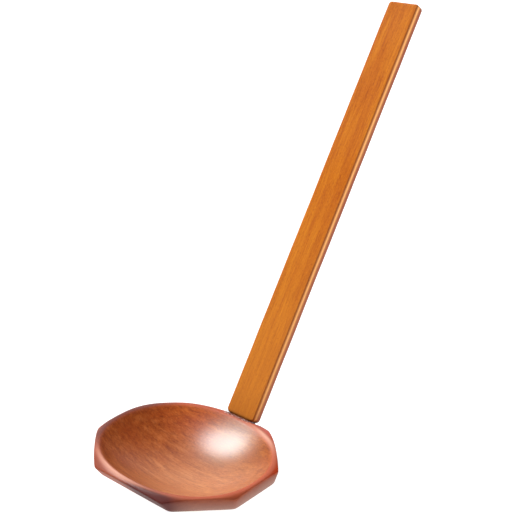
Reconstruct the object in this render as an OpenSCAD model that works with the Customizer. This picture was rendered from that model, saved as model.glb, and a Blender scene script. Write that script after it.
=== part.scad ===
// Long-handled wooden soup ladle: a shallow bowl carved with flat facets outside
// and a smooth oval hollow inside, and a flat bar handle tenoned into its thick back.
// The bowl sits level on its flat underside. +X is across the bowl, +Y runs back
// towards the handle, +Z is up, and the origin is the centre of the flat underside.

/* [Rim] */
// Width of the oval rim, side to side
rim_width = 82.6; // [76:0.2:90]
// Length of the oval rim, front to back
rim_length = 67; // [64:0.2:72]
// How far the rim's centre lies in front of the origin
rim_forward = 0.9; // [0:0.1:2.5]
// Squareness of the rim's oval: 2 is a true ellipse
rim_squareness = 2.15; // [2:0.05:2.5]
// Width of the flat land on top of the rim
lip_width = 1.7; // [1.6:0.1:3]

/* [Bowl] */
// Height of the rim above the flat underside
bowl_height = 20; // [18:0.5:24]
// Depth of the upright facet band, down from the rim
band_depth = 8.2; // [7:0.1:9]
// Depth of the hollow at its lowest point
hollow_depth = 13; // [12:0.5:15]
// Distance from the origin to the band's lower edge, at the front facet
front_reach = 30.5; // [29:0.1:31]
// The same at the two front corner facets
front_corner_reach = 35.7; // [34.5:0.1:36]
// The same at the two side facets
side_reach = 38.8; // [37.5:0.1:39]
// The same at the two back corner facets
back_corner_reach = 36.1; // [35:0.1:37]
// The same at the back facet, under the handle
back_reach = 37.8; // [37:0.1:38]

/* [Handle] */
// Length of the handle above its shoulder
handle_length = 205; // [180:1:240]
// Width of the handle's broad front face
handle_width = 16.4; // [14:0.2:17]
// Thickness of the handle
handle_thickness = 5.4; // [5:0.1:6]
// Angle of the handle above the horizontal
handle_rise = 55.6; // [54:0.2:58]
// Radius of the handle's long edges
edge_radius = 1; // [0.5:0.1:1.5]
// Radius of the corners at the handle's foot, seen from the front
foot_radius = 2.2; // [1.5:0.1:3]
// Radius of the corners at the handle's top, seen from the front
top_radius = 1.5; // [1:0.1:3]

/* [Joint] */
// Width of the tenon
tenon_width = 10; // [7:0.5:11]
// Thickness of the tenon
tenon_thickness = 3; // [2.5:0.1:3.2]
// Length of the tenon below the shoulder
tenon_length = 7; // [5:0.5:7.5]
// Thickness of the glue film round the tenon
glue_gap = 0.15; // [0.1:0.05:0.2]
// Thickness of the bed of glue that the shoulder stands on
glue_bed = 0.5; // [0.3:0.1:0.8]
// Radius of the bead of glue squeezed out along the front of the shoulder
bead_radius = 0.4; // [0.2:0.1:0.5]

/* [Hidden] */
$fn = 48;

rim_z = bowl_height;
band_z = rim_z - band_depth;
lean_back = 90 - handle_rise;

// Half sizes of the rim's outer and inner outlines
outer_w = rim_width / 2;
outer_l = rim_length / 2;
inner_w = outer_w - lip_width;
inner_l = outer_l - lip_width;

// Margin for clean cuts, and size of the blocks that trim the bowl
CLEAN = 1;
BLOCK = 120;

// The bevel that runs down from the rim to the facets has the slope of the handle's foot
bevel_drop = rim_z + CLEAN;
bevel_spread = bevel_drop * tan(handle_rise);

// Insets of the underside's facets, from the band's lower edge to the flat underside
front_inset = 18.8;
corner_inset = 19;
side_inset = 20;
back_inset = 25;
// The back facet leans out this far at rim height
back_flare = 2;
// At rim height, the front facet and the others pass this far outside the rim
front_gap = 1.8;
rim_gap = 0.4;

// [direction, reach at the band's lower edge, reach at rim height, inset below the band]
FACETS = [
    facet(-90, front_reach, front_gap, front_inset),
    facet(-45, front_corner_reach, rim_gap, corner_inset),
    facet(-135, front_corner_reach, rim_gap, corner_inset),
    facet(0, side_reach, rim_gap, side_inset),
    facet(180, side_reach, rim_gap, side_inset),
    facet(45, back_corner_reach, rim_gap, corner_inset),
    facet(135, back_corner_reach, rim_gap, corner_inset),
    [90, back_reach, back_reach + back_flare, back_inset]
];

// Front edge of the seat under the handle: a little behind the rim and below its level
shoulder_gap = 0.6;
shoulder_drop = 1.1;
shoulder_y = outer_l - rim_forward + shoulder_gap;
shoulder_z = rim_z - shoulder_drop;
// Clear margin of the seat round the handle's foot, and height of the space cut above it
seat_margin = 0.5;
seat_cut = 20;
// The tenon's front face lies this far behind the handle's front face
tenon_setback = 0.5;

// Points round each oval outline, and outlines down the hollow
OVAL_POINTS = 72;
HOLLOW_STEPS = 12;

// A facet whose plane passes outside the rim's outer outline by a gap
function facet(direction, reach, gap, inset) = [direction, reach, rim_reach(direction) + gap, inset];

// Distance from the origin to the line that touches the rim's outline in one direction
function rim_reach(direction) =
    let (k = rim_squareness / (rim_squareness - 1))
    pow(pow(outer_w * abs(cos(direction)), k) + pow(outer_l * abs(sin(direction)), k), 1 / k)
    - rim_forward * sin(direction);

// A power that keeps its sign, and the squared-off oval that it makes
function signed_pow(x, p) = sign(x) * pow(abs(x), p);
function oval(half_w, half_l) = [
    for (i = [0 : OVAL_POINTS - 1])
        let (t = 360 * i / OVAL_POINTS, p = 2 / rim_squareness)
        [half_w * signed_pow(cos(t), p), half_l * signed_pow(sin(t), p) - rim_forward]
];

// Solid through a stack of ovals, each [half width, half length, height], from the bottom up
module oval_stack(sections) {
    last = len(sections) - 1;
    points = [for (s = sections) for (p = oval(s[0], s[1])) [p[0], p[1], s[2]]];
    bottom = [for (i = [0 : OVAL_POINTS - 1]) i];
    top = [for (i = [OVAL_POINTS - 1 : -1 : 0]) last * OVAL_POINTS + i];
    walls = [
        for (s = [0 : last - 1]) for (i = [0 : OVAL_POINTS - 1])
            let (j = (i + 1) % OVAL_POINTS, low = s * OVAL_POINTS, high = low + OVAL_POINTS)
            [low + i, high + i, high + j, low + j]
    ];
    polyhedron(points, concat([bottom, top], walls), convexity = 4);
}

// Rim and the bevel below it
module rim_dome() {
    oval_stack([
        [outer_w + bevel_spread, outer_l + bevel_spread, rim_z - bevel_drop],
        [outer_w, outer_l, rim_z]
    ]);
}

// The oval hollow: every section through its lowest point is a circular arc
module hollow() {
    arc = (inner_l * inner_l + hollow_depth * hollow_depth) / (2 * hollow_depth);
    rim_angle = asin(inner_l / arc);
    floor_z = rim_z - hollow_depth;
    oval_stack(concat(
        [
            for (i = [1 : HOLLOW_STEPS])
                let (a = rim_angle * i / HOLLOW_STEPS, share = arc * sin(a) / inner_l)
                [inner_w * share, inner_l * share, floor_z + arc * (1 - cos(a))]
        ],
        [[inner_w + CLEAN, inner_l + CLEAN, rim_z + CLEAN]]
    ));
}

// Everything outside one plane: it passes through [reach, height], tipped from upright
module outside(direction, reach, height, tip) {
    rotate([0, 0, direction])
        translate([reach, 0, height])
            rotate([0, tip, 0])
                translate([0, -BLOCK / 2, -BLOCK / 2])
                    cube(BLOCK);
}

// The faceted block that the bowl is carved from
module facet_block() {
    difference() {
        translate([-BLOCK / 2, -BLOCK / 2, 0])
            cube([BLOCK, BLOCK, rim_z]);
        for (f = FACETS) {
            outside(f[0], f[1], band_z, atan((f[2] - f[1]) / band_depth));
            outside(f[0], f[1], band_z, atan(f[3] / band_z));
        }
    }
}

// Places children in the handle's frame: z along the handle from its seat,
// x across its broad face, and y back through its thickness
module on_handle() {
    translate([0, shoulder_y, shoulder_z])
        rotate([-lean_back, 0, 0])
            children();
}

// The tenon, or with grow > 0 the mortise round it, up to a height above the seat
module tenon(grow = 0, top = glue_bed + CLEAN) {
    translate([-tenon_width / 2 - grow, tenon_setback - grow, -tenon_length - grow])
        cube([tenon_width + 2 * grow, tenon_thickness + 2 * grow, tenon_length + grow + top]);
}

// Rectangle with its lower corners rounded by one radius and its upper corners by another
module rounded_bar(width, length, low_radius, high_radius) {
    half = width / 2;
    translate([-half, low_radius])
        square([width, length - low_radius - high_radius]);
    translate([low_radius - half, 0])
        square([width - 2 * low_radius, low_radius]);
    translate([high_radius - half, length - high_radius])
        square([width - 2 * high_radius, high_radius]);
    for (side = [-1, 1]) {
        translate([side * (half - low_radius), low_radius])
            circle(low_radius);
        translate([side * (half - high_radius), length - high_radius])
            circle(high_radius);
    }
}

// Carved bowl, with the seat and the mortise for the handle
module bowl() {
    color("#a9532a")
    difference() {
        intersection() {
            facet_block();
            rim_dome();
        }
        hollow();
        on_handle() {
            translate([-handle_width / 2 - seat_margin, -seat_margin, 0])
                cube([handle_width + 2 * seat_margin, seat_cut, seat_cut]);
            tenon(glue_gap);
        }
    }
}

// Flat bar handle with its tenon
module handle() {
    color("#c77a2e")
    on_handle() {
        translate([0, 0, glue_bed])
            intersection() {
                translate([0, handle_thickness, 0])
                    rotate([90, 0, 0])
                        linear_extrude(handle_thickness)
                            rounded_bar(handle_width, handle_length, foot_radius, top_radius);
                linear_extrude(handle_length)
                    rounded_bar(handle_width, handle_thickness, edge_radius, edge_radius);
            }
        tenon();
    }
}

// Glue: the film round the tenon, the bed under the shoulder, and the bead in front of it
module glue_line() {
    bed_width = handle_width - 2 * foot_radius;
    color("#5a2f1c")
    on_handle()
        difference() {
            union() {
                tenon(glue_gap, glue_bed);
                translate([-bed_width / 2, 0, 0])
                    cube([bed_width, handle_thickness, glue_bed]);
                intersection() {
                    rotate([0, 90, 0])
                        cylinder(r = bead_radius, h = bed_width, center = true);
                    translate([-bed_width / 2, -bead_radius, 0])
                        cube([bed_width, bead_radius, bead_radius]);
                }
            }
            tenon();
        }
}

bowl();
handle();
glue_line();
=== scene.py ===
"""Wooden soup ladle in clear-lacquered wood: the looks of its bowl, its handle and the glue between.

Shapes are worked out in millimetres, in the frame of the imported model, and become metres when a
piece is made. The bowl and the handle are each the surface where a smooth function of the place
is zero: negative inside the wood and positive outside it.
"""

import math

import bmesh
import bpy
import numpy as np
from mathutils import Matrix, Vector


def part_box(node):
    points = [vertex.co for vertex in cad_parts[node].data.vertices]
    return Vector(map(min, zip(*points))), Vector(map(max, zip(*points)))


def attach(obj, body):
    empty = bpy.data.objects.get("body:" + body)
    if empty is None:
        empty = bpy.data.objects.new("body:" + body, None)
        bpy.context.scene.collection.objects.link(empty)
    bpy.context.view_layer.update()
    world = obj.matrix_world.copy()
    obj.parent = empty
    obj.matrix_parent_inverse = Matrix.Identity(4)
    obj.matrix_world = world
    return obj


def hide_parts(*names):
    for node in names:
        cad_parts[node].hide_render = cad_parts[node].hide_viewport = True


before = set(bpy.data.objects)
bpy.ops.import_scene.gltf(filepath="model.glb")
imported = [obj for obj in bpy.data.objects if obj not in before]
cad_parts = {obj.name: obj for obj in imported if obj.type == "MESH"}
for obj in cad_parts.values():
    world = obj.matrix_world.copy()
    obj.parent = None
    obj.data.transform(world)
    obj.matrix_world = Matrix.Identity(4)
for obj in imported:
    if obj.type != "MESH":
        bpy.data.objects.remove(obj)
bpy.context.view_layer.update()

MM = 0.001
BODY = "root"

# ---- Driving dimensions, in millimetres -------------------------------------------------------

RIM_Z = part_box("bowl")[1].z / MM
BAND_DEPTH = 8.2
BAND_Z = RIM_Z - BAND_DEPTH
HOLLOW_DEPTH = 13
RIM_CENTRE_Y = -0.9
RIM_OUTER = (41.3, 33.5)
LIP_WIDTH = 1.7
RIM_INNER = (RIM_OUTER[0] - LIP_WIDTH, RIM_OUTER[1] - LIP_WIDTH)
RIM_SQUARENESS = 2.15

# Distance from the origin to the band's lower edge, at each kind of facet
FRONT_REACH = 30.5
FRONT_CORNER_REACH = 35.7
SIDE_REACH = 38.8
BACK_CORNER_REACH = 36.1
BACK_REACH = 37.8
# Insets of the lower facets, from the band's lower edge to the flat underside
FRONT_INSET = 18.8
CORNER_INSET = 19
SIDE_INSET = 20
BACK_INSET = 25
# At rim height, the front facet and the others pass this far outside the rim
FRONT_GAP = 1.8
RIM_GAP = 0.4
# The back facet leans out this far at rim height
BACK_FLARE = 2

# [direction in degrees, reach, inset, gap outside the rim] of every facet but the back one
FACETS = [
    (-90, FRONT_REACH, FRONT_INSET, FRONT_GAP),
    (-45, FRONT_CORNER_REACH, CORNER_INSET, RIM_GAP),
    (-135, FRONT_CORNER_REACH, CORNER_INSET, RIM_GAP),
    (0, SIDE_REACH, SIDE_INSET, RIM_GAP),
    (180, SIDE_REACH, SIDE_INSET, RIM_GAP),
    (45, BACK_CORNER_REACH, CORNER_INSET, RIM_GAP),
    (135, BACK_CORNER_REACH, CORNER_INSET, RIM_GAP),
]

HANDLE_RISE = math.radians(55.6)
HANDLE_LEAN = math.pi / 2 - HANDLE_RISE
HANDLE_LENGTH = 205
HANDLE_WIDTH = 16.4
HANDLE_THICKNESS = 5.4
FOOT_RADIUS = 2.2
TOP_RADIUS = 1.5
EDGE_RADIUS = 1

# The seat under the handle starts this far behind the rim and this far below its level
SHOULDER_GAP = 0.6
SHOULDER_DROP = 1.1
SEAT_Y = RIM_OUTER[1] + RIM_CENTRE_Y + SHOULDER_GAP
SEAT_Z = RIM_Z - SHOULDER_DROP
SEAT_MARGIN = 0.5
SEAT_CUT = 20
# The tenon's width, thickness and length, and how far it lies behind the handle's front face
TENON = (10, 3, 7)
TENON_SETBACK = 0.5
GLUE_GAP = 0.15
GLUE_BED = 0.5
BEAD_RADIUS = 0.4

# ---- Hand work, stains and painted light and shade, in millimetres ----------------------------

# How softly the carved edges of the bowl are rounded over
SOFTNESS = 0.28
# How far the handle's sides and its faces waver
SIDE_WAVER = 0.1
FACE_WAVER = 0.14
# Wavelengths of that along the handle, and what sets their waves apart, in radians
LEFT_WAVES = ((83, 37, 19), 1.3)
RIGHT_WAVES = ((71, 43, 23), 2.1)
FRONT_WAVES = ((97, 53, 29), 0.7)
BACK_WAVES = ((89, 47, 31), 2.6)
# How far in from the handle's sides the look of its edges reaches
SIDE_TINT_WIDTH = 0.6
# The dark line of painted shade beside the handle's edges and the painted highlight band down its
# right side, each as its place and half width, and how far back the dark line goes
DARK_LINE = (0.5, 0.25)
DARK_LINE_DEPTH = 1
HIGHLIGHT_BAND = (1.4, 1.2)
# How far up the handle's foot the wood is darkened
FOOT_FADE = 1.0

# Blots on the bowl, each as x, y and how far it spreads. Where the front corner is darker, where
# the hollow has painted light on it, where its stain stayed amber, and where it is least red
DARK_FRONT_SPOT = (13, -37, 12)
HOLLOW_LIGHT_SPOT = (14, -7, 25)
AMBER = (25, 21, 9)
BROWN = (6, 24, 13)
# Where the lip has a pale painted highlight: in front, and beside the handle's foot
LIP_HIGHLIGHT_FRONT = (-8, -32, 19)
LIP_HIGHLIGHT_BACK = (19, 27, 11)
# Masks are clipped at 1, so a gain above 1 widens the part at full strength
EDGE_GAIN = 2
LIP_GAIN = 2
DARK_FRONT_GAIN = 2
LIP_HIGHLIGHT_GAIN = 1.2

# Glue smeared over the rim in front of the handle's foot: how far it reaches forward and how soft
# its edge is there, how far it stops short of the foot's sides and how soft its ends are, and
# how far it runs down below the seat
SMEAR_REACH = 2.1
SMEAR_EDGE = 0.15
SMEAR_SHORT = 1
SMEAR_END = 0.3
SMEAR_DROP = 1
# Lumps in the bead of glue: [place across, width, height as a share of the bead's]
GLUE_LUMPS = [(-4.6, 0.5, 0.6), (-2.9, 0.35, 0.4), (-0.9, 0.6, 0.8), (0.8, 0.3, 0.9),
              (2.3, 0.45, 0.6), (3.9, 0.3, 1.0), (4.9, 0.35, 0.7)]
# How far back the bead is rooted in the bed of glue. Its ends thin out with this power of the
# distance, measured to just past them, and keep this least share of the bead's squared radius
BEAD_ROOT = 0.1
BEAD_END_POWER = 8
BEAD_END_PAST = 0.01
BEAD_END_LEAST = 0.02

# ---- Mesh density and numeric limits ----------------------------------------------------------

# Points round the bowl, rings between its edges from the middle of the underside to the hollow,
# and rings down the hollow
BOWL_COLUMNS = 600
EDGE_RINGS = (10, 26, 16, 12, 10)
HOLLOW_RINGS = 56
# Across, through and along the handle: steps near the ends, steps between them, and how far in
# from each end the small steps go
WIDTH_STEPS = (0.15, 0.9, 1.8)
THICKNESS_STEPS = (0.15, 0.4, 1.5)
LENGTH_STEPS = (0.2, 0.8, 3)
# Rings along the bead of glue, and points round the quarter circle of each
BEAD_RINGS = 120
BEAD_TURNS = 12
# Edges that turn by more than this are shaded sharp
SHARP_EDGE = math.radians(40)
# The sine of the steepest slope that the hollow is worked out for, past its rim
STEEPEST = 0.98
# A facet is left out of directions in which the cosine of its angle to them is below this
LEAST_FACING = 0.2
# How often the search for the bevel's foot halves its range
HALVINGS = 30

# ---- Meshes -----------------------------------------------------------------------------------


def grid_faces(rows, columns, closed):
    """Quads between rows of points; closed joins the last column to the first."""
    last = columns if closed else columns - 1
    return [(r * columns + c, r * columns + (c + 1) % columns,
             (r + 1) * columns + (c + 1) % columns, (r + 1) * columns + c)
            for r in range(rows - 1) for c in range(last)]


def new_object(name, points, faces):
    """An object with one mesh, in millimetres."""
    mesh = bpy.data.meshes.new(name)
    mesh.from_pydata([tuple(p) for p in points], [], faces)
    made = bpy.data.objects.new(name, mesh)
    bpy.context.scene.collection.objects.link(made)
    return made


def cuboid(name, low, high, place=None):
    """A closed box between two corners, which place may turn and move."""
    low, high = Vector(low), Vector(high)
    middle, size = Matrix.Translation((low + high) / 2), Matrix.Diagonal((*(high - low), 1))
    shape = bmesh.new()
    bmesh.ops.create_cube(shape, size=1, matrix=middle @ size)
    if place is not None:
        shape.transform(place)
    mesh = bpy.data.meshes.new(name)
    shape.to_mesh(mesh)
    shape.free()
    made = bpy.data.objects.new(name, mesh)
    bpy.context.scene.collection.objects.link(made)
    return made


def combine(target, tool, operation):
    """Applies one exact Boolean to target and removes the tool."""
    step = target.modifiers.new("step", "BOOLEAN")
    step.operation = operation
    step.solver = "EXACT"
    step.object = tool
    bpy.context.view_layer.update()
    whole = target.evaluated_get(bpy.context.evaluated_depsgraph_get())
    result = bpy.data.meshes.new_from_object(whole)
    target.modifiers.clear()
    old = target.data
    target.data = result
    bpy.data.meshes.remove(old)
    bpy.data.objects.remove(tool)


def positions(mesh):
    """Every vertex of a mesh as rows of x, y, z."""
    flat = np.empty(len(mesh.vertices) * 3)
    mesh.vertices.foreach_get("co", flat)
    return flat.reshape(-1, 3)


def add_mask(mesh, name, values):
    """Stores one number per vertex for the material to read."""
    attribute = mesh.attributes.new(name, "FLOAT", "POINT")
    attribute.data.foreach_set("value", np.clip(values, 0, 1).astype(np.float32))


def finish_piece(piece, material, node):
    """Smooth shading except at sharp edges, real size, material, and its place in the frame."""
    shape = bmesh.new()
    shape.from_mesh(piece.data)
    bmesh.ops.recalc_face_normals(shape, faces=shape.faces)
    for face in shape.faces:
        face.smooth = True
    for edge in shape.edges:
        edge.smooth = edge.is_manifold and edge.calc_face_angle(0) < SHARP_EDGE
    shape.transform(Matrix.Scale(MM, 4))
    shape.to_mesh(piece.data)
    shape.free()
    piece.data.materials.clear()
    piece.data.materials.append(material)
    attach(piece, BODY)
    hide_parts(node)


# ---- Surfaces ---------------------------------------------------------------------------------


def soft_max(parts, softness):
    """The largest part at each place, with the corner between two parts rounded inwards."""
    parts = np.stack(parts)
    top = parts.max(axis=0)
    return top + softness * np.log(np.exp((parts - top) / softness).sum(axis=0))


def settle(points, field, steps=10, nudge=0.001):
    """Moves each point along the field's slope until it lies where the field is zero."""
    for _ in range(steps):
        value = field(points)
        slope = np.stack([(field(points + nudge * axis) - value) / nudge for axis in np.eye(3)], axis=1)
        points = points - value[:, None] * slope / (slope ** 2).sum(axis=1)[:, None]
    return points


def oval_radius(direction, half_w, half_l):
    """Radius of the rim's squared-off oval in a direction."""
    across = np.abs(np.cos(direction)) / half_w
    along = np.abs(np.sin(direction)) / half_l
    return (across ** RIM_SQUARENESS + along ** RIM_SQUARENESS) ** (-1 / RIM_SQUARENESS)


def rim_reach(direction):
    """Distance from the origin to the line that touches the rim's outline in one direction."""
    k = RIM_SQUARENESS / (RIM_SQUARENESS - 1)
    across = (RIM_OUTER[0] * abs(math.cos(direction))) ** k
    along = (RIM_OUTER[1] * abs(math.sin(direction))) ** k
    return (across + along) ** (1 / k) + RIM_CENTRE_Y * math.sin(direction)


def facet_planes():
    """Two planes for each facet, as [outward direction, slope outwards, reach at the band's edge]."""
    tops = [(degrees, reach, inset, rim_reach(math.radians(degrees)) + gap)
            for degrees, reach, inset, gap in FACETS]
    tops.append((90, BACK_REACH, BACK_INSET, BACK_REACH + BACK_FLARE))
    planes = []
    for degrees, reach, inset, top in tops:
        direction = math.radians(degrees)
        planes.append((direction, (top - reach) / (RIM_Z - BAND_Z), reach))
        planes.append((direction, inset / BAND_Z, reach))
    return planes


PLANES = facet_planes()
ARC = (RIM_INNER[1] ** 2 + HOLLOW_DEPTH ** 2) / (2 * HOLLOW_DEPTH)


def hollow_slope(share):
    """Sine of the hollow's slope where share runs from 0 at its lowest point to 1 at the rim."""
    return np.clip(RIM_INNER[1] * share / ARC, 0, STEEPEST)


def bowl_parts(points):
    """Distances outside each surface that the bowl is carved with: hollow, bevel, top, base, facets."""
    x, y, z = points.T
    from_centre = y - RIM_CENTRE_Y
    direction = np.arctan2(from_centre, x)
    radius = np.hypot(x, from_centre)
    sine = hollow_slope(radius / oval_radius(direction, *RIM_INNER))
    cosine = np.sqrt(1 - sine ** 2)
    hollow = (z - (RIM_Z - HOLLOW_DEPTH + ARC * (1 - cosine))) * cosine
    spread = (RIM_Z - z) * math.tan(HANDLE_RISE)
    bevel_edge = oval_radius(direction, RIM_OUTER[0] + spread, RIM_OUTER[1] + spread)
    bevel = (radius - bevel_edge) * math.cos(HANDLE_RISE)
    parts = [hollow, bevel, z - RIM_Z, -z]
    for angle, slope, reach in PLANES:
        outwards = x * math.cos(angle) + y * math.sin(angle)
        parts.append((outwards - reach - slope * (z - BAND_Z)) / math.hypot(1, slope))
    return parts


def bowl_field(points):
    """Below 0 inside the bowl's wood, 0 on its softened surface and above 0 outside."""
    return soft_max(bowl_parts(points), SOFTNESS)


def crowded(count):
    """Shares from 0 to 1, close together at both ends."""
    return 0.5 - 0.5 * np.cos(np.pi * np.arange(count) / count)


def facet_radius(direction, z):
    """Radius of the sharp faceted block about the rim's centre, at a height."""
    best = np.full(direction.shape, np.inf)
    for angle, slope, reach in PLANES:
        facing = np.cos(direction - angle)
        limit = reach + slope * (z - BAND_Z) - RIM_CENTRE_Y * math.sin(angle)
        away = limit / np.maximum(facing, LEAST_FACING)
        best = np.minimum(best, np.where(facing > LEAST_FACING, away, np.inf))
    return best


def bevel_foot(direction):
    """Height at which the bevel below the rim meets the facets, in each direction."""
    low, high = np.full(direction.shape, BAND_Z), np.full(direction.shape, RIM_Z)
    for _ in range(HALVINGS):
        middle = (low + high) / 2
        spread = (RIM_Z - middle) * math.tan(HANDLE_RISE)
        inside = facet_radius(direction, middle) < oval_radius(direction, RIM_OUTER[0] + spread,
                                                               RIM_OUTER[1] + spread)
        low, high = np.where(inside, middle, low), np.where(inside, high, middle)
    return (low + high) / 2


def bowl_rings(direction):
    """Rings of points on the sharp bowl, from the middle of its underside to that of its hollow."""
    foot = bevel_foot(direction)
    edges = [(np.zeros_like(direction), np.zeros_like(direction)),
             (facet_radius(direction, 0), np.zeros_like(direction)),
             (facet_radius(direction, BAND_Z), np.full(direction.shape, BAND_Z)),
             (facet_radius(direction, foot), foot),
             (oval_radius(direction, *RIM_OUTER), np.full(direction.shape, RIM_Z)),
             (oval_radius(direction, *RIM_INNER), np.full(direction.shape, RIM_Z))]
    rings = []
    for (r0, z0), (r1, z1), count in zip(edges, edges[1:], EDGE_RINGS):
        rings += [(r0 + (r1 - r0) * t, z0 + (z1 - z0) * t) for t in crowded(count)]
    inner = oval_radius(direction, *RIM_INNER)
    for share in np.cos(np.pi / 2 * np.arange(HOLLOW_RINGS) / HOLLOW_RINGS):
        height = RIM_Z - HOLLOW_DEPTH + ARC * (1 - np.sqrt(1 - hollow_slope(share) ** 2))
        rings.append((inner * share, np.full(direction.shape, height)))
    return rings[1:]


def handle_place():
    """Turns and moves the handle's own frame into place: z along it, x across, y back through it."""
    return Matrix.Translation((0, SEAT_Y, SEAT_Z)) @ Matrix.Rotation(-HANDLE_LEAN, 4, "X")


def in_handle_frame(points):
    """Places in the handle's own frame, as all of x, all of y and all of z."""
    back = handle_place().inverted()
    return np.array([back @ Vector(p) for p in points]).T


def tenon_box(name, grow, top):
    """The tenon, or with grow the space round it, up to a height above the seat."""
    low = (-TENON[0] / 2 - grow, TENON_SETBACK - grow, -TENON[2] - grow)
    high = (TENON[0] / 2 + grow, TENON_SETBACK + TENON[1] + grow, top)
    return cuboid(name, low, high, handle_place())


def fade(distance, width):
    """1 at no distance, and smoothly down to 0 beyond about two widths."""
    return np.exp(-(distance / width) ** 2)


def blot(points, spot):
    """How strongly a round blot, given as x, y and its spread, covers each point: 0 to 1."""
    return fade(np.hypot(points[:, 0] - spot[0], points[:, 1] - spot[1]), spot[2])


def soft_step(distance, softness):
    """1 well inside, where distance is below 0, and 0 well outside."""
    return 1 / (1 + np.exp(distance / softness))


def mask_bowl(mesh):
    """Stores where each look of the bowl shows: its surfaces, its stains, its painted light and shade, and
    the smeared glue.
    """
    at = positions(mesh)
    parts = np.stack(bowl_parts(at))
    share = np.exp((parts - parts.max(axis=0)) / SOFTNESS)
    share = share / share.sum(axis=0)
    hollow, bevel, lip = share[:3]
    add_mask(mesh, "edge", (1 - share.max(axis=0)) * EDGE_GAIN)
    add_mask(mesh, "bevel", bevel)
    add_mask(mesh, "lip", lip * LIP_GAIN)
    add_mask(mesh, "facets", share[4:].sum(axis=0))
    across, through, along = in_handle_frame(at)
    in_front = soft_step(-through - SMEAR_REACH, SMEAR_EDGE)
    within = soft_step(np.abs(across) - HANDLE_WIDTH / 2 + SMEAR_SHORT, SMEAR_END)
    add_mask(mesh, "smear", in_front * within * (along > -SMEAR_DROP) * (1 - hollow))
    add_mask(mesh, "dark_front", blot(at, DARK_FRONT_SPOT) * (1 - hollow) * (1 - lip) * DARK_FRONT_GAIN)
    add_mask(mesh, "painted_lip_highlight", (blot(at, LIP_HIGHLIGHT_FRONT) + blot(at, LIP_HIGHLIGHT_BACK)) * lip * LIP_HIGHLIGHT_GAIN)
    for name, spot in (("amber", AMBER), ("brown", BROWN), ("painted_hollow_light", HOLLOW_LIGHT_SPOT)):
        add_mask(mesh, name, blot(at, spot) * hollow)


def make_bowl(material):
    """The carved bowl, with its seat and mortise for the handle."""
    direction = 2 * np.pi * np.arange(BOWL_COLUMNS) / BOWL_COLUMNS
    rings = bowl_rings(direction)
    points = np.concatenate([
        np.stack([r * np.cos(direction), r * np.sin(direction) + RIM_CENTRE_Y, z], axis=1)
        for r, z in rings])
    points = settle(points, bowl_field)
    ends = [(0, RIM_CENTRE_Y, 0), (0, RIM_CENTRE_Y, RIM_Z - HOLLOW_DEPTH)]
    ends = settle(np.array(ends, float), bowl_field)
    faces = grid_faces(len(rings), BOWL_COLUMNS, True)
    first, last = len(points), len(points) + 1
    top = (len(rings) - 1) * BOWL_COLUMNS
    faces += [(first, (c + 1) % BOWL_COLUMNS, c) for c in range(BOWL_COLUMNS)]
    faces += [(last, top + c, top + (c + 1) % BOWL_COLUMNS) for c in range(BOWL_COLUMNS)]
    bowl = new_object("carved_bowl", np.concatenate([points, ends]), faces)
    half_seat = HANDLE_WIDTH / 2 + SEAT_MARGIN
    low, high = (-half_seat, -SEAT_MARGIN, 0), (half_seat, SEAT_CUT, SEAT_CUT)
    combine(bowl, cuboid("seat", low, high, handle_place()), "DIFFERENCE")
    combine(bowl, tenon_box("mortise", GLUE_GAP, FOOT_RADIUS), "DIFFERENCE")
    mask_bowl(bowl.data)
    finish_piece(bowl, material, "bowl")


def handle_field(points):
    """Rounded bar: an outline with round corners seen from the front, with every edge eased."""
    x, y, z = points.T
    middle = HANDLE_LENGTH / 2 + GLUE_BED
    corner = np.where(z < middle, FOOT_RADIUS, TOP_RADIUS)
    out_x = np.abs(x) - HANDLE_WIDTH / 2 + corner
    out_z = np.abs(z - middle) - HANDLE_LENGTH / 2 + corner
    outline = (np.hypot(np.maximum(out_x, 0), np.maximum(out_z, 0))
               + np.minimum(np.maximum(out_x, out_z), 0) - corner)
    slab = np.abs(y - HANDLE_THICKNESS / 2) - HANDLE_THICKNESS / 2
    a, b = outline + EDGE_RADIUS, slab + EDGE_RADIUS
    return np.hypot(np.maximum(a, 0), np.maximum(b, 0)) + np.minimum(np.maximum(a, b), 0) - EDGE_RADIUS


def edge_steps(low, high, fine, coarse, reach):
    """Places from low to high, fine within reach of either end and coarse between."""
    near = np.arange(0, reach, fine)
    between = np.linspace(low + reach, high - reach, max(2, round((high - low - 2 * reach) / coarse) + 1))
    return np.concatenate([low + near, between, high - near[::-1]])


def box_surface(xs, ys, zs):
    """Points and quads of a box's six sides on the given places, with shared edges."""
    index, points, faces = {}, [], []

    def corner(i, j, k):
        if (i, j, k) not in index:
            index[i, j, k] = len(points)
            points.append((xs[i], ys[j], zs[k]))
        return index[i, j, k]

    sizes = (len(xs), len(ys), len(zs))
    for axis in range(3):
        u, v = (axis + 1) % 3, (axis + 2) % 3
        for end in (0, sizes[axis] - 1):
            for a in range(sizes[u] - 1):
                for b in range(sizes[v] - 1):
                    loop = []
                    for da, db in ((0, 0), (1, 0), (1, 1), (0, 1)):
                        place = [0, 0, 0]
                        place[axis], place[u], place[v] = end, a + da, b + db
                        loop.append(corner(*place))
                    faces.append(loop if end else loop[::-1])
    return np.array(points, float), faces


def waver(along, periods, phase):
    """A slow unevenness from 0 to 1 along the handle, as left by a spokeshave."""
    waves = [np.sin(2 * np.pi * along / period + phase * (i + 1)) for i, period in enumerate(periods)]
    return 0.5 + 0.5 * sum(waves) / len(periods)


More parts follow.
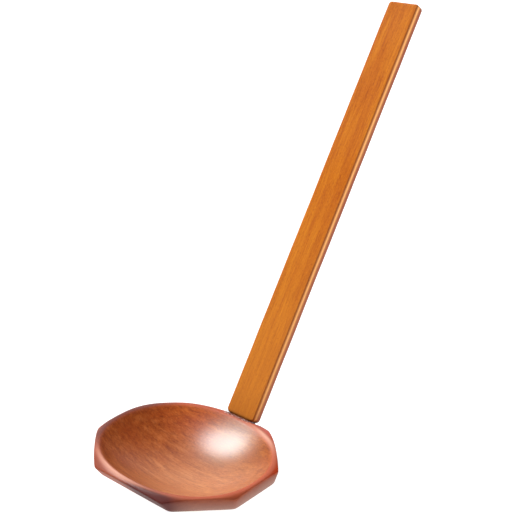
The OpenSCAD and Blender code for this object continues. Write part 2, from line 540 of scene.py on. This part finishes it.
def mask_handle(mesh):
    """Stores where the handle has painted shade and a painted highlight by its edges, and where its foot is
    darkened.
    """
    across, through, along = in_handle_frame(positions(mesh))
    from_side = HANDLE_WIDTH / 2 - np.abs(across)
    on_right = across > 0
    on_side = fade(from_side, SIDE_TINT_WIDTH)
    line = fade(from_side - np.where(on_right, DARK_LINE[0], 0), DARK_LINE[1])
    band = fade(through - HIGHLIGHT_BAND[0], HIGHLIGHT_BAND[1])
    add_mask(mesh, "painted_edge_shade", line * (through < DARK_LINE_DEPTH))
    # Painted highlight: a pale band down the eased edge of the right side
    add_mask(mesh, "edge", np.where(on_right, band * on_side, 0))
    add_mask(mesh, "flank", on_side * (1 - band))
    add_mask(mesh, "foot", fade(along - GLUE_BED, FOOT_FADE))


def make_handle(material):
    """The bar handle with its tenon, very slightly uneven along its length."""
    half = HANDLE_WIDTH / 2
    points, faces = box_surface(edge_steps(-half, half, *WIDTH_STEPS),
                                edge_steps(0, HANDLE_THICKNESS, *THICKNESS_STEPS),
                                edge_steps(GLUE_BED, GLUE_BED + HANDLE_LENGTH, *LENGTH_STEPS))
    x, y, z = settle(points, handle_field).T
    left, right = waver(z, *LEFT_WAVES), waver(z, *RIGHT_WAVES)
    front, back = waver(z, *FRONT_WAVES), waver(z, *BACK_WAVES)
    x = x - np.sign(x) * np.where(x > 0, right, left) * SIDE_WAVER * np.abs(x) / half
    towards_front = 1 - y / HANDLE_THICKNESS
    y = y + FACE_WAVER * front * towards_front - FACE_WAVER * back * (1 - towards_front)
    handle = new_object("bar_handle", np.stack([x, y, z], axis=1), faces)
    handle.data.transform(handle_place())
    combine(handle, tenon_box("tenon", 0, FOOT_RADIUS), "UNION")
    mask_handle(handle.data)
    finish_piece(handle, material, "handle")


def make_glue(material):
    """Dried glue: the film and bed in the joint, and the lumpy bead squeezed out in front."""
    half = HANDLE_WIDTH / 2 - FOOT_RADIUS
    x = np.linspace(-half, half, BEAD_RINGS)
    swell = sum(height * fade(x - at, width) for at, width, height in GLUE_LUMPS)
    taper = 1 - (x / (half + BEAD_END_PAST)) ** BEAD_END_POWER
    taper = np.sqrt(np.clip(taper, BEAD_END_LEAST, 1))
    radius = np.minimum(BEAD_RADIUS / 2 * (1 + swell), BEAD_RADIUS) * taper
    rings = []
    for at, r in zip(x, radius):
        ring = [(at, -r * math.cos(a), r * math.sin(a)) for a in np.linspace(0, np.pi / 2, BEAD_TURNS)]
        rings += [(at, BEAD_ROOT, 0), *ring, (at, BEAD_ROOT, r)]
    per_ring = BEAD_TURNS + 2
    end = (BEAD_RINGS - 1) * per_ring
    faces = grid_faces(BEAD_RINGS, per_ring, True)
    faces += [tuple(range(per_ring))[::-1], tuple(range(end, end + per_ring))]
    glue = new_object("dried_glue", rings, faces)
    glue.data.transform(handle_place())
    bed = cuboid("bed", (-half, 0, 0), (half, HANDLE_THICKNESS, GLUE_BED), handle_place())
    combine(glue, bed, "UNION")
    combine(glue, tenon_box("sleeve", GLUE_GAP, GLUE_BED), "UNION")
    combine(glue, tenon_box("tenon", 0, FOOT_RADIUS), "DIFFERENCE")
    finish_piece(glue, material, "glue_line")


# ---- Materials --------------------------------------------------------------------------------

# Noise in the wood: its cell in millimetres along, across and through the grain, how many finer
# layers it has, how strong they are, and how much it is distorted
STREAKS = ((46, 2.0, 2.0), 5.0, 0.6, 0.3)
HAIRLINES = ((14, 0.8, 0.8), 3.0, 0.65, 0.2)
SPECKS = ((1.3, 0.7, 0.7), 2.0, 0.6, 0.0)
PATCHES = ((30, 13, 13), 3.0, 0.5, 0.0)
# How far patches bend the growth rings, in ring spacings, and how late in each ring it darkens
RING_BEND = 3.0
RING_SHARPNESS = 2.5


def srgb(red, green, blue):
    """A display colour, 0 to 255, as the linear colour that shaders take."""
    linear = []
    for value in (red, green, blue):
        share = value / 255
        linear.append(share / 12.92 if share <= 0.04045 else ((share + 0.055) / 1.055) ** 2.4)
    return (*linear, 1)


class Shader:
    """Adds shader nodes: an input given a socket is linked, and any other is set."""

    def __init__(self, name):
        self.material = bpy.data.materials.new(name)
        self.material.use_nodes = True
        self.tree = self.material.node_tree
        self.tree.nodes.clear()

    def node(self, kind, inputs, **settings):
        made = self.tree.nodes.new("ShaderNode" + kind)
        for key, value in settings.items():
            setattr(made, key, value)
        for key, value in inputs.items():
            if isinstance(value, bpy.types.NodeSocket):
                self.tree.links.new(value, made.inputs[key])
            else:
                made.inputs[key].default_value = value
        return made

    def math(self, operation, first, second=0.0):
        return self.node("Math", {0: first, 1: second}, operation=operation).outputs[0]

    def mask(self, name):
        return self.node("Attribute", {}, attribute_name=name).outputs["Fac"]

    def place(self):
        return self.node("TexCoord", {}).outputs["Object"]

    def mix(self, factor, first, second, blend="MIX"):
        made = self.node("Mix", {0: factor, 6: first, 7: second}, data_type="RGBA", blend_type=blend)
        return made.outputs[2]

    def tint(self, colour, mask, strength, towards, blend="MIX"):
        """Takes a colour towards another one, by mask times strength."""
        return self.mix(self.math("MULTIPLY", mask, strength), colour, towards, blend)

    def remap(self, value, low, high, to_low=0.0, to_high=1.0):
        made = self.node("MapRange", {0: value, 1: low, 2: high, 3: to_low, 4: to_high})
        return made.outputs[0]

    def ramp(self, factor, stops):
        made = self.node("ValToRGB", {0: factor})
        ramp = made.color_ramp
        ramp.elements[0].position, ramp.elements[0].color = stops[0]
        ramp.elements[1].position, ramp.elements[1].color = stops[-1]
        for place, colour in stops[1:-1]:
            ramp.elements.new(place).color = colour
        return made.outputs[0]

    def cloud(self, scale, detail):
        """Even noise, its scale in cells to the metre."""
        return self.node("TexNoise", {"Vector": self.place(), "Scale": scale, "Detail": detail}).outputs[0]

    def bump(self, height, strength, distance):
        made = self.node("Bump", {"Height": height, "Strength": strength, "Distance": distance})
        return made.outputs[0]

    def grain(self, lean):
        """Place in millimetres as x, y and z, turned so that z runs along wood leaning back by lean."""
        turned = self.node("Mapping", {"Vector": self.place(), "Rotation": (lean, 0, 0),
                                       "Scale": (1 / MM, 1 / MM, 1 / MM)}).outputs[0]
        return self.node("SeparateXYZ", {0: turned}).outputs

    def fibres(self, axes, cell, detail, roughness, distortion):
        """Noise whose cells have the given size along, across and through the grain."""
        scaled = [self.math("DIVIDE", axis, size) for axis, size in zip(axes, cell)]
        vector = self.node("CombineXYZ", {0: scaled[0], 1: scaled[1], 2: scaled[2]}).outputs[0]
        return self.node("TexNoise", {"Vector": vector, "Scale": 1.0, "Detail": detail,
                                      "Roughness": roughness, "Distortion": distortion}).outputs[0]

    def finish(self, shader):
        """The material, with a shader as its surface."""
        self.node("OutputMaterial", {"Surface": shader.outputs[0]}).is_active_output = True
        return self.material


def lacquered_wood(name, lean, upright, colours, ring_spacing, pith, edge_tint, edge_lightening):
    """Wood with growth rings, streaks, hairlines, specks and colour that wanders.

    The grain runs along z where upright, and along x otherwise.
    """
    s = Shader(name)
    x, y, z = s.grain(lean)
    axes = (z, x, y) if upright else (x, y, z)
    dark, middle, light, red = colours
    streaks = s.fibres(axes, *STREAKS)
    hairs = s.fibres(axes, *HAIRLINES)
    specks = s.fibres(axes, *SPECKS)
    patches = s.fibres(axes, *PATCHES)
    across = s.math("SUBTRACT", axes[1], pith[0])
    through = s.math("SUBTRACT", axes[2], pith[1])
    radius = s.math("SQRT", s.math("ADD", s.math("MULTIPLY", across, across),
                                   s.math("MULTIPLY", through, through)))
    bent = s.math("ADD", radius, s.math("MULTIPLY", patches, ring_spacing * RING_BEND))
    phase = s.math("FRACT", s.math("DIVIDE", bent, ring_spacing))
    rings = s.math("POWER", phase, RING_SHARPNESS)
    colour = s.ramp(streaks, [(0.34, dark), (0.5, middle), (0.66, light)])
    colour = s.mix(s.remap(patches, low=0.45, high=0.68), colour, red)
    colour = s.tint(colour, rings, strength=0.16, towards=dark, blend="MULTIPLY")
    colour = s.mix(s.remap(hairs, low=0.5, high=0.7, to_high=0.4), colour, dark, "MULTIPLY")
    colour = s.mix(s.remap(specks, low=0.54, high=0.7, to_high=0.35), colour, dark, "MULTIPLY")
    colour = s.mix(s.remap(specks, low=0.44, high=0.3, to_high=0.5), colour, light)
    # Lighter along the edges; on the handle this is a painted highlight
    colour = s.tint(colour, s.mask("edge"), edge_lightening, edge_tint)
    return s, colour, hairs, specks, patches


# Relief of the wood and of the lacquer's skin, as strength and height in metres, the scale and
# finer layers of the ripples in the skin, and how much specks and hairlines count in the relief
WOOD_RELIEF = (0.35, 0.00006)
SKIN_RELIEF = (0.3, 0.00006)
SKIN_RIPPLES = (420.0, 2.0)
SPECKS_IN_RELIEF = -0.8
HAIRS_IN_SKIN = 0.35
# How far roughness strays below and above its middle value
SMOOTHER = 0.06
ROUGHER = 0.08
SHEEN_OF_WOOD = 0.06


def finish_lacquer(s, colour, hairs, specks, patches, roughness, coat, coat_roughness, coat_ior):
    """Satin wood below a smooth coat that dips slightly over the hairlines."""
    wood = s.math("ADD", hairs, s.math("MULTIPLY", specks, SPECKS_IN_RELIEF))
    skin = s.math("ADD", s.cloud(*SKIN_RIPPLES), s.math("MULTIPLY", hairs, HAIRS_IN_SKIN))
    uneven = s.math("ADD", hairs, patches)
    return s.finish(s.node("BsdfPrincipled", {
        "Base Color": colour,
        "Roughness": s.remap(uneven, low=0.6, high=1.4,
                             to_low=roughness - SMOOTHER, to_high=roughness + ROUGHER),
        "Normal": s.bump(wood, *WOOD_RELIEF), "Coat Normal": s.bump(skin, *SKIN_RELIEF),
        "Coat Weight": coat, "Coat Roughness": coat_roughness, "Coat IOR": coat_ior,
        "Specular IOR Level": SHEEN_OF_WOOD}))


def bowl_wood():
    """Reddish-brown stained wood with painted light that makes the middle of the hollow palest, darker and
    duller outside.
    """
    dark, middle, light, red = srgb(140, 60, 17), srgb(158, 75, 24), srgb(176, 94, 44), srgb(150, 64, 18)
    s, colour, hairs, specks, patches = lacquered_wood(
        "lacquered_bowl_wood", lean=0.0, upright=False, colours=(dark, middle, light, red),
        ring_spacing=2.2, pith=(18.0, -70.0), edge_tint=srgb(190, 96, 58), edge_lightening=0.35)
    right, back, up = s.grain(0.0)
    facets, bevel, lip = s.mask("facets"), s.mask("bevel"), s.mask("lip")

    # Inside: painted light that makes the middle pale, a warm back wall, and an amber and a brown patch
    hollow_light = s.mask("painted_hollow_light")
    colour = s.mix(hollow_light, colour, (1.35, 2.1, 3.2, 1), "MULTIPLY")
    colour = s.tint(colour, hollow_light, 0.25, srgb(220, 164, 134))
    colour = s.mix(s.remap(back, low=10.0, high=26.0), colour, (1.4, 1.3, 0.8, 1), "MULTIPLY")
    colour = s.mix(s.mask("amber"), colour, (0.7, 0.64, 0.25, 1), "MULTIPLY")
    colour = s.mix(s.mask("brown"), colour, (0.6, 0.9, 1.1, 1), "MULTIPLY")

    # Facets: brown, with a pale grey painted reflection lower down and towards the right, and more orange
    # at the left
    colour = s.tint(colour, facets, 0.75, srgb(132, 72, 54))
    height = s.math("ADD", up, s.math("MULTIPLY", patches, 3.0))
    painted_reflection = s.remap(height, low=19.5, high=13.0, to_high=0.5)
    painted_reflection = s.math("MULTIPLY", painted_reflection, s.remap(right, low=-18.0, high=12.0, to_low=0.25))
    colour = s.mix(s.math("MULTIPLY", facets, painted_reflection), colour, srgb(180, 156, 146))
    orange = s.remap(right, low=8.0, high=-14.0, to_high=0.5)
    colour = s.mix(s.math("MULTIPLY", facets, orange), colour, srgb(170, 74, 34))

    # Bevel below the rim: brown, and redder towards the back
    colour = s.tint(colour, bevel, 0.85, srgb(140, 66, 46))
    rear = s.remap(back, low=-14.0, high=4.0, to_high=0.8)
    colour = s.mix(s.math("MULTIPLY", bevel, rear), colour, srgb(196, 58, 8))

    # Lip: reddish, with a pale painted highlight in front and beside the handle's foot
    colour = s.tint(colour, lip, 0.85, srgb(172, 88, 66))
    colour = s.mix(s.mask("painted_lip_highlight"), colour, srgb(222, 168, 146))

    # Both are painted darker at the left, as shade
    shaded_left_bevel = s.remap(right, low=-3.0, high=-22.0, to_high=0.8)
    colour = s.mix(s.math("MULTIPLY", bevel, shaded_left_bevel), colour, srgb(134, 62, 44))
    shaded_left_lip = s.remap(right, low=-26.0, high=-36.0, to_high=0.8)
    colour = s.mix(s.math("MULTIPLY", lip, shaded_left_lip), colour, srgb(104, 66, 62))

    # A darker front corner, and glue smeared over the rim with pale painted glints in it
    colour = s.tint(colour, s.mask("dark_front"), 0.9, srgb(80, 36, 36))
    glue = s.mix(s.remap(specks, low=0.56, high=0.62), srgb(92, 66, 62), srgb(206, 190, 184))
    colour = s.tint(colour, s.mask("smear"), 0.85, glue)

    # The coat is thick inside and worn thin outside
    outside = s.math("ADD", s.math("ADD", facets, bevel), s.math("ADD", lip, s.mask("edge")))
    coat = s.remap(outside, low=0.0, high=1.0, to_low=0.7, to_high=0.08)
    return finish_lacquer(s, colour, hairs, specks, patches, roughness=0.5,
                          coat=coat, coat_roughness=0.29, coat_ior=1.55)


def handle_wood():
    """Golden-brown straight-grained wood, with painted shade and a painted highlight by its long edges."""
    dark, middle, light, red = srgb(178, 90, 4), srgb(194, 107, 6), srgb(204, 120, 14), srgb(186, 98, 5)
    # Its pale edge tint is a painted highlight down the right side
    s, colour, hairs, specks, patches = lacquered_wood(
        "lacquered_handle_wood", HANDLE_LEAN, upright=True, colours=(dark, middle, light, red),
        ring_spacing=3.4, pith=(30.0, 44.0), edge_tint=srgb(255, 184, 112), edge_lightening=1.0)
    along = s.grain(HANDLE_LEAN)[2]
    # Painted highlight: paler glare over the lower part of the handle
    colour = s.mix(s.remap(along, low=150.0, high=45.0, to_high=0.35), colour, srgb(208, 140, 66))
    colour = s.mix(s.remap(along, low=50.0, high=26.0, to_high=0.4), colour, srgb(150, 80, 24))
    # The sides: redder wood with a painted pale reflection of the studio in it
    colour = s.tint(colour, s.mask("flank"), 0.8, srgb(150, 84, 72))
    # Painted shade: a dark line beside the edges of the front face
    colour = s.tint(colour, s.mask("painted_edge_shade"), 0.5, srgb(140, 58, 16))
    colour = s.tint(colour, s.mask("foot"), 0.8, srgb(84, 40, 22))
    return finish_lacquer(s, colour, hairs, specks, patches, roughness=0.6,
                          coat=0.05, coat_roughness=0.2, coat_ior=1.45)


def dried_glue():
    """Grey-brown glue, glossy, with pale painted glints in it."""
    s = Shader("dried_glue")
    cloud = s.cloud(scale=900.0, detail=3.0)
    specks = s.cloud(scale=2600.0, detail=2.0)
    dark, middle, light = srgb(70, 46, 42), srgb(122, 92, 88), srgb(170, 146, 140)
    colour = s.ramp(cloud, [(0.35, dark), (0.55, middle), (0.7, light)])
    # Pale specks: painted glints
    colour = s.mix(s.remap(specks, low=0.6, high=0.7), colour, srgb(214, 200, 194))
    return s.finish(s.node("BsdfPrincipled", {
        "Base Color": colour,
        "Roughness": s.remap(cloud, low=0.3, high=0.7, to_low=0.12, to_high=0.3),
        "Normal": s.bump(cloud, strength=0.5, distance=0.0001),
        "Coat Weight": 1.0, "Coat Roughness": 0.05}))


def floor_paint():
    """Pale studio floor that glows, so that it looks evenly white."""
    s = Shader("studio_floor")
    darker, lighter = (0.28, 0.28, 0.28, 1), (0.32, 0.32, 0.32, 1)
    colour = s.ramp(s.cloud(scale=3.0, detail=2.0), [(0.3, darker), (0.7, lighter)])
    return s.finish(s.node("BsdfPrincipled", {
        "Base Color": colour, "Roughness": 0.9,
        "Emission Color": (1, 1, 1, 1), "Emission Strength": 0.97}))


# ---- Stage ------------------------------------------------------------------------------------

# The floor's size in metres and the faces along it. It lies this far below the ladle's flat
# underside, in millimetres, so that the two never coincide
FLOOR_SIZE = 30
FLOOR_FACES = 4
FLOOR_DROP = 0.05
# Soft far lamps, as [name, azimuth, elevation, width in degrees, power]
LAMPS = [
    ("key", -82, 50, 25, 4.2),
    ("high_side", -62, 37, 24, 1.0),
    ("side", 95, 15, 50, 1.4),
    ("rear", -130, 30, 60, 0.5),
]
# Brightness of the studio, as [from, to, value there, value here]: from its front at -1 to its
# back at 1, and as a share of that, from the floor at 0 to overhead at 1
WALLS_BY_DEPTH = (-0.3, 0.4, 0.03, 1.15)
WALLS_BY_HEIGHT = (0.75, 0.97, 1.0, 0.3)
# The camera's place and what it looks at, in millimetres, and its lens and sensor
CAMERA_PLACE = (282.2, -278.2, 267.4)
CAMERA_TARGET = (14.1, 29.0, 102.0)
CAMERA_LENS = 75.88
CAMERA_SENSOR = 36
# Lamps are set this far off, in millimetres; being suns, they light the same from any distance
LAMP_DISTANCE = 1000


def aim(thing, place, target):
    """Puts a lamp or camera at a place, in millimetres, looking at a target."""
    thing.location = Vector(place) * MM
    thing.rotation_euler = (Vector(target) - Vector(place)).to_track_quat("-Z", "Y").to_euler()
    bpy.context.scene.collection.objects.link(thing)


def compass(azimuth, elevation):
    """Unit direction: azimuth 0 is the front, -Y, and 90 the right, +X; elevation is above the floor."""
    a, e = math.radians(azimuth), math.radians(elevation)
    return Vector((math.sin(a) * math.cos(e), -math.cos(a) * math.cos(e), math.sin(e)))


def soft_sun(name, azimuth, elevation, width, power):
    """A round, far lamp in a direction."""
    lamp = bpy.data.lights.new(name, "SUN")
    lamp.angle = math.radians(width)
    lamp.energy = power
    aim(bpy.data.objects.new(name, lamp), LAMP_DISTANCE * compass(azimuth, elevation), (0, 0, 0))


def studio_walls():
    """A studio that is white behind the ladle and dim in front of it and overhead."""
    world = bpy.data.worlds.new("studio")
    world.use_nodes = True
    tree = world.node_tree
    place = tree.nodes.new("ShaderNodeTexCoord")
    split = tree.nodes.new("ShaderNodeSeparateXYZ")
    tree.links.new(place.outputs["Generated"], split.inputs[0])
    both = tree.nodes.new("ShaderNodeMath")
    both.operation = "MULTIPLY"
    for i, (output, values) in enumerate(((1, WALLS_BY_DEPTH), (2, WALLS_BY_HEIGHT))):
        change = tree.nodes.new("ShaderNodeMapRange")
        change.interpolation_type = "SMOOTHSTEP"
        for k, value in enumerate(values):
            change.inputs[k + 1].default_value = value
        tree.links.new(split.outputs[output], change.inputs[0])
        tree.links.new(change.outputs[0], both.inputs[i])
    tree.links.new(both.outputs[0], tree.nodes["Background"].inputs["Strength"])
    return world


def make_stage():
    """Floor, white surroundings, soft lamps and the camera."""
    bpy.ops.mesh.primitive_grid_add(x_subdivisions=FLOOR_FACES, y_subdivisions=FLOOR_FACES, size=FLOOR_SIZE)
    floor = bpy.context.object
    floor.name = "studio_floor"
    floor.location.z = -FLOOR_DROP * MM
    floor.data.materials.append(floor_paint())
    bpy.context.scene.world = studio_walls()
    bpy.context.scene.view_settings.view_transform = "Standard"
    for lamp in LAMPS:
        soft_sun(*lamp)
    camera = bpy.data.cameras.new("camera")
    camera.lens = CAMERA_LENS
    camera.sensor_width = CAMERA_SENSOR
    view = bpy.data.objects.new("camera", camera)
    aim(view, CAMERA_PLACE, CAMERA_TARGET)
    bpy.context.scene.camera = view


make_stage()
make_bowl(bowl_wood())
make_handle(handle_wood())
make_glue(dried_glue())
